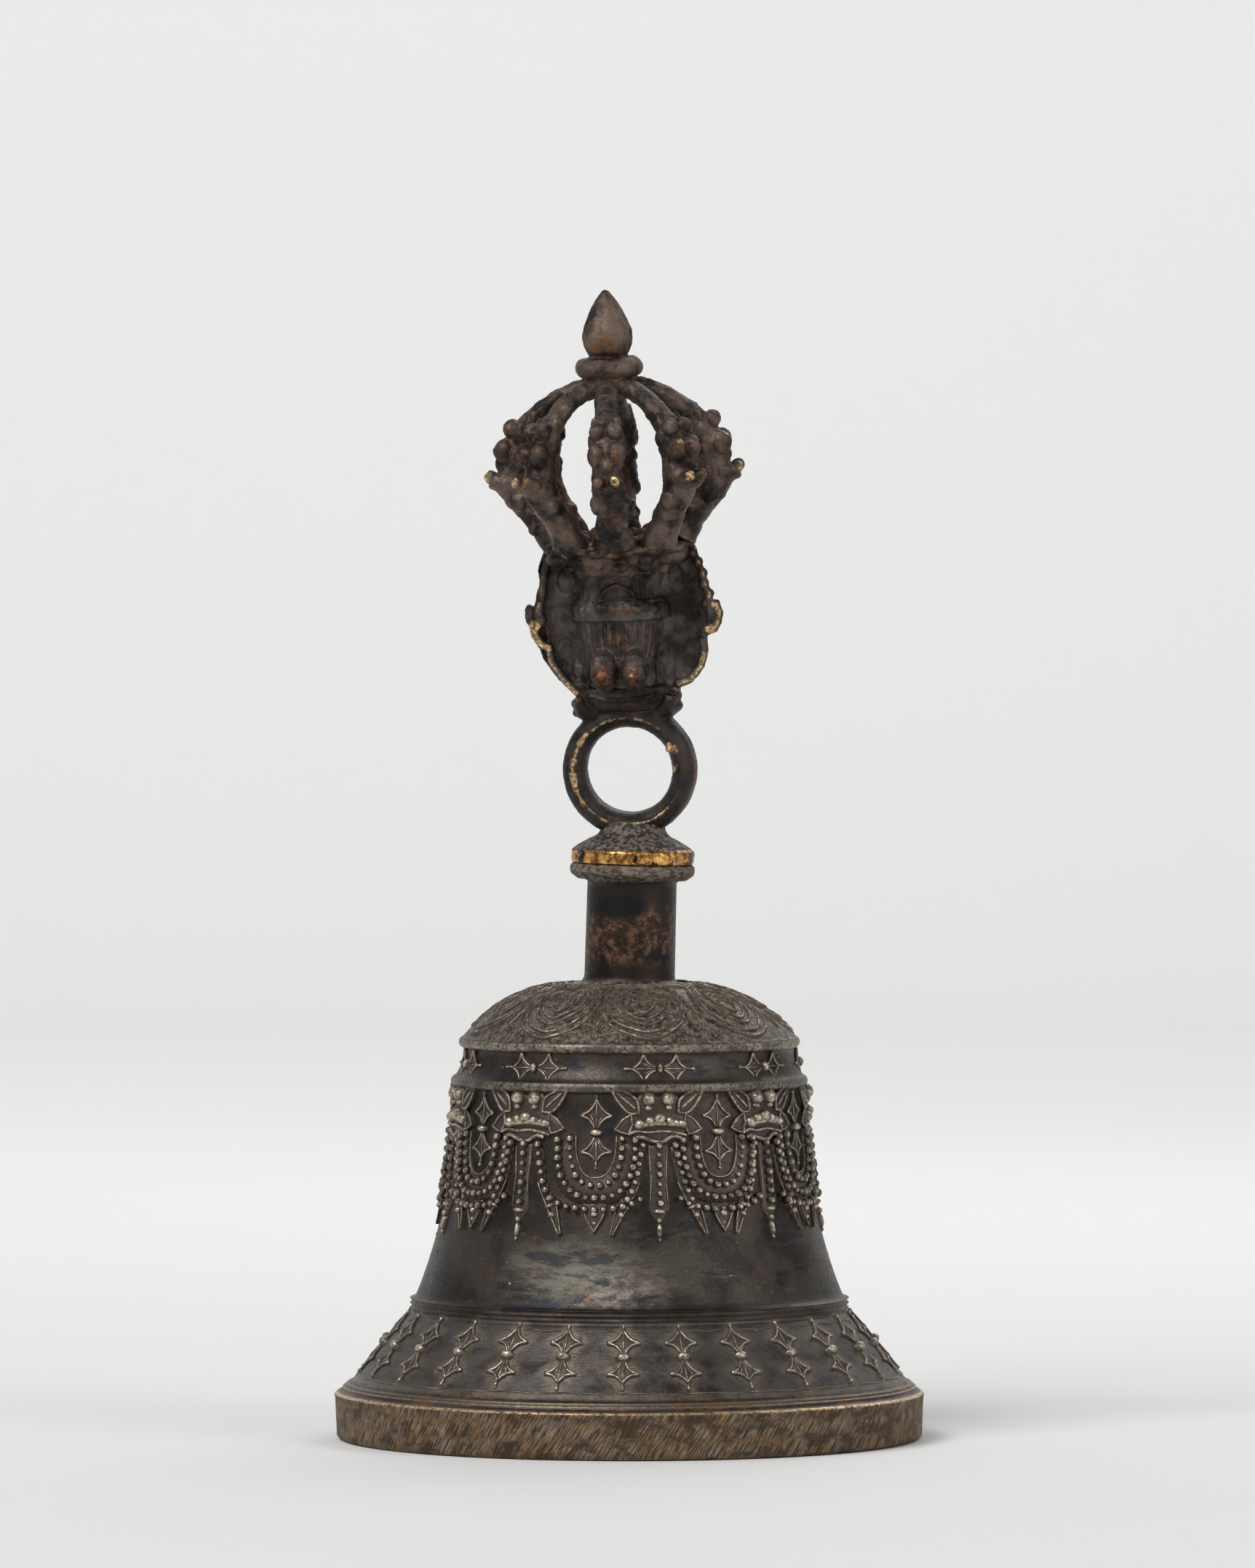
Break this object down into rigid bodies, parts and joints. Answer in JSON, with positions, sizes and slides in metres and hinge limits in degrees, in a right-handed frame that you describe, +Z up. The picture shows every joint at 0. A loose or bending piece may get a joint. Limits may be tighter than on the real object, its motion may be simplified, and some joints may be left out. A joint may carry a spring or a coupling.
{
  "type": "ritual hand bell",
  "caption": "Bronze ritual hand bell with a flared mouth and free-swinging clapper. Its handle has a finger ring, a head with crown leaves and a cage of curved prongs.",
  "frame": {"origin": "centre of the mouth's rim, on the surface that the bell stands on", "axes": "+Z up through the crown, -Y towards the viewer of the picture, +X to that viewer's right"},
  "size_m": [0.0924, 0.0924, 0.1798],
  "materials": {
    "bell_metal": "dark worn bronze patina with dust in the relief",
    "handle_brass": "near-black patina, worn to gold on the edges",
    "iron": "forged iron, dark and slightly rusty",
    "pitch": "hard black pitch"
  },
  "bodies": {
    "bell": {"bell_body": "bell_metal", "handle_collar": "handle_brass", "finger_ring": "handle_brass", "head": "handle_brass", "crown_leaf_left": "handle_brass", "crown_leaf_right": "handle_brass", "lotus_seat": "handle_brass", "center_prong": "handle_brass", "finial_collar": "handle_brass", "finial_bud": "handle_brass", "tang_eye": "iron", "crown_washer": "iron", "neck_fill": "pitch", "prong_1": "handle_brass", "prong_2": "handle_brass", "prong_3": "handle_brass", "prong_4": "handle_brass", "prong_5": "handle_brass", "prong_6": "handle_brass", "prong_7": "handle_brass", "prong_8": "handle_brass"},
    "link": {"clapper_link": "iron"},
    "clapper": {"clapper_rod": "iron", "clapper_striker": "iron"}
  },
  "joints": [
    {"name": "link_swing", "type": "hinge", "parent": "bell", "child": "link", "pos_m": [0, 0, 0.05934], "axis": [1, 0, 0], "range_deg": [-22, 22]},
    {"name": "clapper_swing", "type": "hinge", "parent": "link", "child": "clapper", "pos_m": [0, 0, 0.05044], "axis": [0, 1, 0], "range_deg": [-30, 30]}
  ]
}
